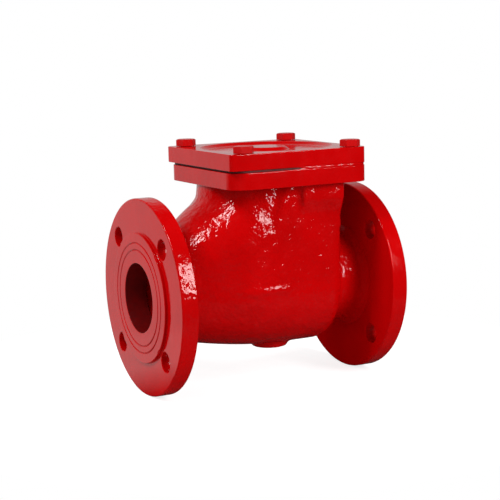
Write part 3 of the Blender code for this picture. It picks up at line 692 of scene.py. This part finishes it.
def enamel(name, bumps, peel, grain, where=None, dull=0.0, ior=1.35, sheen=None):
    """Bumps, peel and grain are depths in metres; where is a mask for the bumps, sheen one for the gloss,
    which paints shade where it lowers it.
    """
    material = new_material(name, ior=ior)
    place = add(material, "ShaderNodeTexCoord").outputs["Object"]
    if sheen:
        feed(material, Specular_IOR_Level=sheen(material, place))
    tone = spread(material, noise(material, 0.035, 3, 0.5, place), 0.0, 1.0)
    gloss = spread(material, noise(material, 0.012, 2, 0.5, place), 0.05 + dull, 0.14 + dull)
    swell = noise(material, 0.0075, 2.5, 0.55, place)
    if where:
        centred = spread(material, swell, -0.5, 0.5, 0.0, 1.0)
        swell = combined(material, "MULTIPLY", centred, where(material, place))
    layers = [(swell, bumps), (noise(material, 0.0021, 1, 0.5, place), peel),
              (noise(material, 0.0006, 1, 0.5, place), grain)]
    return feed(material, Base_Color=blend(material, tone, red, deep_red), Roughness=gloss,
                Normal=relief(material, layers))


cast_enamel = enamel("cast_enamel", 0.0014, 0.00008, 0.000008, below_plate, sheen=painted_shade_on_inlet_root)
plate_enamel = enamel("plate_enamel", 0.0002, 0.00004, 0.000008)
face_enamel = enamel("face_enamel", 0.0010, 0.00003, 0.000006, on_the_rim)
calm_enamel = enamel("calm_enamel", 0.0003, 0.00003, 0.000006, on_the_rim, sheen=painted_shade_on_inner_side)
screw_enamel = enamel("screw_enamel", 0.0002, 0.00004, 0.00002, dull=0.22, ior=1.25)
enamels = (cast_enamel, plate_enamel, face_enamel, calm_enamel, screw_enamel)
print("enamels:", [kind.name for kind in enamels])

# %% [markdown]
# The pieces inside are kept from the CAD model, so only their finishes are made here: bronze for
# the seat, bushes and hinge blocks, turned steel for the pin, nut and screws, a dark cast finish
# for the arm and the disc, nitrile rubber for the facing, and a fibre sheet for the gasket.

# %% Metals, rubber and gasket
def metal(name, first, second, rough, size, depth, ring_axis=None):
    """A metal with blotches of two colours and a fine grain, or a turned part's rings about an axis."""
    material = new_material(name, metallic=1.0)
    place = add(material, "ShaderNodeTexCoord").outputs["Object"]
    tone = spread(material, noise(material, size, 4, place=place), 0.0, 1.0)
    roughness = spread(material, noise(material, size / 3, 3, place=place), rough * 0.7, rough * 1.3)
    if ring_axis is None:
        height = noise(material, size / 8, 4, 0.6, place)
    else:
        stretch = [40.0, 40.0, 40.0]
        stretch[ring_axis] = 4000.0
        squeezed = add(material, "ShaderNodeMapping", Vector=place, Scale=stretch).outputs["Vector"]
        height = noise(material, 1.0, 2, 0.5, squeezed)
    return feed(material, Base_Color=blend(material, tone, first, second), Roughness=roughness,
                Normal=relief(material, [(height, depth)]))


def coating(name, first, second, rough, size, depth):
    """A dull non-metal with a soft grain."""
    material = new_material(name)
    tone = spread(material, noise(material, size, 5, 0.6), 0.0, 1.0)
    roughness = spread(material, noise(material, size / 2, 3), rough * 0.85, rough * 1.1)
    return feed(material, Base_Color=blend(material, tone, first, second), Roughness=roughness,
                Normal=relief(material, [(noise(material, size / 4, 4, 0.6), depth)]))


# The bores get a dull red, far darker than the enamel outside. It is partly a thinner inner coat and partly
# painted shade for the dim pipe.
bore_coat_and_shade = coating("bore_coat_and_shade", (0.150, 0.0010, 0.0012), (0.105, 0.0008, 0.0010),
                    0.35, 0.006, 0.0001)
along_pipe, along_pin = 0, 1
finishes = {
    "cover_gasket": coating("painted_gasket", (0.110, 0.004, 0.004), (0.060, 0.008, 0.007),
                            0.8, 0.004, 0.0001),
    "body_seat_ring": metal("seat_bronze", (0.60, 0.38, 0.15), (0.50, 0.30, 0.11),
                            0.24, 0.010, 0.00001, along_pipe),
    "disc": metal("disc_iron", (0.17, 0.17, 0.18), (0.11, 0.11, 0.12), 0.50, 0.008, 0.0001),
    "disc_facing": coating("facing_rubber", (0.020, 0.020, 0.021), (0.032, 0.031, 0.031),
                           0.6, 0.006, 0.00004),
    "facing_retainer": metal("retainer_bronze", (0.58, 0.37, 0.15), (0.48, 0.29, 0.11),
                             0.28, 0.009, 0.00001, along_pipe),
    "retainer_screw": metal("screw_steel", (0.55, 0.55, 0.54), (0.44, 0.44, 0.44),
                            0.30, 0.004, 0.00001, along_pipe),
    "hinge_arm": metal("arm_iron", (0.26, 0.26, 0.27), (0.17, 0.17, 0.18), 0.48, 0.009, 0.00012),
    "arm_bush_front": metal("front_bush_bronze", (0.62, 0.40, 0.17), (0.52, 0.32, 0.12),
                            0.26, 0.006, 0.00001, along_pin),
    "arm_bush_back": metal("back_bush_bronze", (0.61, 0.39, 0.16), (0.51, 0.31, 0.12),
                           0.27, 0.006, 0.00001, along_pin),
    "hinge_pin": metal("pin_steel", (0.60, 0.60, 0.59), (0.50, 0.50, 0.50),
                       0.22, 0.006, 0.00001, along_pin),
    "hinge_block_front": metal("front_block_bronze", (0.56, 0.35, 0.14), (0.45, 0.27, 0.10),
                               0.38, 0.007, 0.00005),
    "hinge_block_back": metal("back_block_bronze", (0.55, 0.34, 0.14), (0.44, 0.26, 0.10),
                              0.39, 0.007, 0.00005),
    "disc_washer": metal("washer_steel", (0.56, 0.56, 0.55), (0.45, 0.45, 0.45),
                         0.32, 0.005, 0.00001, along_pipe),
    "disc_nut": metal("nut_steel", (0.52, 0.52, 0.51), (0.42, 0.42, 0.42), 0.34, 0.005, 0.00002),
    "split_pin": metal("split_pin_steel", (0.62, 0.62, 0.61), (0.52, 0.52, 0.52), 0.28, 0.003, 0.00001),
}
for name, finish in finishes.items():
    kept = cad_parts[name]
    kept.data.materials.clear()
    kept.data.materials.append(finish)
print("finishes:", len(finishes))

# %% [markdown]
# Every piece gets its finish and is tied to the CAD body that it moves with. The new pieces stand
# for the CAD nodes of the same form, which are then hidden.

# %% Tie the pieces to the CAD bodies
pieces = [(casting, ["body"], (cast_enamel, bore_coat_and_shade)), (outlet_flange, ["body"], (face_enamel, bore_coat_and_shade)),
          (inlet_flange, ["body"], (calm_enamel, bore_coat_and_shade)), (lid, ["cover"], (plate_enamel,)),
          (film, ["cover"], (plate_enamel,))]
for label, screw in zip(cover_bolt_labels, screws):
    pieces.append((screw, ["cover_bolt_" + label], (screw_enamel,)))
for piece, nodes, coats in pieces:
    numbers = [face.material_index for face in piece.data.polygons]
    piece.data.materials.clear()
    for coat in coats:
        piece.data.materials.append(coat)
    piece.data.polygons.foreach_set("material_index", [min(k, len(coats) - 1) for k in numbers])
    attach(piece, "valve_body")
    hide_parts(*nodes)
print("pieces:", [piece.name for piece, nodes, coats in pieces])

# %% [markdown]
# ## Light, floor and camera
# The photograph is a studio picture on white: soft light all round, a bright backdrop behind and
# a dark room in front, so that faces turned away from the camera carry a pale veil and the front
# stays a pure red. Two soft boxes, one to the right of the camera and one further left, make the
# sharp bright patches in the enamel.

# %% Soft boxes
def area_light(name, azimuth, elevation, distance, size, radiance):
    """A soft box that looks at the valve; its power follows from how bright it looks."""
    turn, tilt = math.radians(azimuth), math.radians(elevation)
    away = Vector((math.sin(turn) * math.cos(tilt), -math.cos(turn) * math.cos(tilt), math.sin(tilt)))
    lamp = bpy.data.lights.new(name, "AREA")
    lamp.shape = "RECTANGLE"
    lamp.size, lamp.size_y = size
    lamp.energy = radiance * math.pi * size[0] * size[1]
    holder = bpy.data.objects.new(name, lamp)
    holder.rotation_mode = "QUATERNION"
    holder.rotation_quaternion = away.to_track_quat("Z", "Y")
    holder.location = away * distance
    scene.collection.objects.link(holder)
    return holder


lamp_distance = 1.2
soft_boxes = [area_light("soft_box_right", 24, 25, lamp_distance, (0.30, 0.62), 20.0),
              area_light("soft_box_left", -80, 50, lamp_distance, (0.19, 0.40), 30.0)]
print("lights:", [holder.name for holder in soft_boxes])

# %% [markdown]
# The world is white, and its strength depends on the direction and on the kind of ray. The
# camera sees it at 1, which is white. Surfaces are lit softly, more from above and behind than
# from the front. A glossy surface mirrors a backdrop behind the valve that fades out towards the
# front and overhead, so that the red stays deep where it faces the camera.

# %% World
def between(material, factor, first, second):
    """A value on its way from the first to the second, where the second may be a plain number."""
    mix = add(material, "ShaderNodeMix", data_type="FLOAT")
    for name, value in (("Factor", factor), ("A", first), ("B", second)):
        if isinstance(value, bpy.types.NodeSocket):
            material.node_tree.links.new(value, mix.inputs[name])
        else:
            mix.inputs[name].default_value = value
    return mix.outputs["Result"]


world = bpy.data.worlds.new("studio")
scene.world = world
world.use_nodes = True
sky = world.node_tree.nodes["Background"]
sky.inputs["Color"].default_value = (1, 1, 1, 1)
direction = add(world, "ShaderNodeTexCoord").outputs["Generated"]
parts_of = add(world, "ShaderNodeSeparateXYZ", Vector=direction)
height = parts_of.outputs["Z"]
lean = add(world, "ShaderNodeVectorMath", operation="DOT_PRODUCT")
world.node_tree.links.new(direction, lean.inputs[0])
lean.inputs[1].default_value = (-0.30, 0.15, 0.15)
above = spread(world, lean.outputs["Value"], 0.07, 1.08, -0.12, 0.37)
below = spread(world, parts_of.outputs["X"], 0.75, 0.15, -1.0, 1.0)
soft = between(world, spread(world, height, 1.0, 0.0, -0.03, 0.03), above, below)
behind = spread(world, parts_of.outputs["Y"], 0.02, 1.0, 0.40, 0.85)
backdrop = combined(world, "MULTIPLY", behind, spread(world, height, 0.66, 0.50, -0.05, 0.10))
mirrored = combined(world, "MULTIPLY", backdrop, spread(world, height, 1.0, 0.15, 0.50, 0.80))
rays = add(world, "ShaderNodeLightPath").outputs
lit = between(world, rays["Is Glossy Ray"], soft, mirrored)
shown = combined(world, "MAXIMUM", rays["Is Camera Ray"], rays["Is Transmission Ray"])
world.node_tree.links.new(between(world, shown, lit, 1.0), sky.inputs["Strength"])
print("world nodes:", len(world.node_tree.nodes))

# %% [markdown]
# The floor is a round sheet of pale paper under the flanges. It takes the valve's shadow, and a
# glow that only the camera sees lets its edge vanish into the white. In the enamel it is dark,
# apart from the stretch behind and to the left of the valve, which gives the near flange's face
# its pale veil.

# %% Floor
floor_radius = 0.34
bm = bmesh.new()
bmesh.ops.create_circle(bm, cap_ends=True, segments=96, radius=floor_radius,
                        matrix=Matrix.Translation((0, 0, -flange_radius)))
floor = link("floor", bm)
paper = new_material("floor_paper", roughness=0.9)
place = add(paper, "ShaderNodeTexCoord").outputs["Object"]
tone = spread(paper, noise(paper, 0.02, 3, place=place), 0.0, 1.0)
rays = add(paper, "ShaderNodeLightPath").outputs
pale = blend(paper, tone, (0.60, 0.60, 0.60), (0.58, 0.58, 0.58))
faint = blend(paper, tone, (0.42, 0.42, 0.42), (0.40, 0.40, 0.40))
pale = blend(paper, rays["Is Camera Ray"], pale, faint)
feed(paper, Base_Color=blend(paper, rays["Is Glossy Ray"], pale, (0.03, 0.03, 0.03)))
floor_place = add(paper, "ShaderNodeSeparateXYZ", Vector=place).outputs
behind_valve = spread(paper, floor_place["Y"], 0.0, 0.70, 0.00, 0.10)
beside_valve = spread(paper, floor_place["X"], 1.0, 0.0, -0.125, -0.090)
bright = combined(paper, "MULTIPLY", behind_valve, beside_valve)
mirrored = combined(paper, "MAXIMUM", rays["Is Glossy Ray"], rays["Is Transmission Ray"])
faded = combined(paper, "MULTIPLY", mirrored, bright)
seen = combined(paper, "MULTIPLY", rays["Is Camera Ray"], 0.80)
feed(paper, Emission_Strength=combined(paper, "MAXIMUM", faded, seen))
paper.node_tree.nodes["Principled BSDF"].inputs["Emission Color"].default_value = (1, 1, 1, 1)
floor.data.materials.append(paper)
print("floor radius:", floor_radius)

# %% [markdown]
# The camera was fitted to the photograph's outline: it stands to the left of the valve, a little
# above it, at about 1.26 metres with a long lens, and it leans by a degree and a half.

# %% Camera
turn, tilt, roll = math.radians(-27.16), math.radians(8.86), math.radians(-1.47)
focal_pixels, picture_width, distance = 1304.32, 500, 1.25777
aim = Vector((-0.00237, 0, 0.03415))
back = Vector((math.sin(turn) * math.cos(tilt), -math.cos(turn) * math.cos(tilt), math.sin(tilt)))
level = Vector((math.cos(turn), math.sin(turn), 0))
upward = level.cross(-back)
right = math.cos(roll) * level + math.sin(roll) * upward
up = -math.sin(roll) * level + math.cos(roll) * upward
lens = bpy.data.cameras.new("camera")
lens.sensor_width = 36
lens.lens = focal_pixels / picture_width * lens.sensor_width
camera = bpy.data.objects.new("camera", lens)
turned = Matrix((right, up, back)).transposed().to_4x4()
camera.matrix_world = Matrix.Translation(aim + back * distance) @ turned
scene.collection.objects.link(camera)
scene.camera = camera
scene.view_settings.view_transform = "Standard"
print("lens:", round(lens.lens, 1), "mm")

# %% Update the scene
bpy.context.view_layer.update()
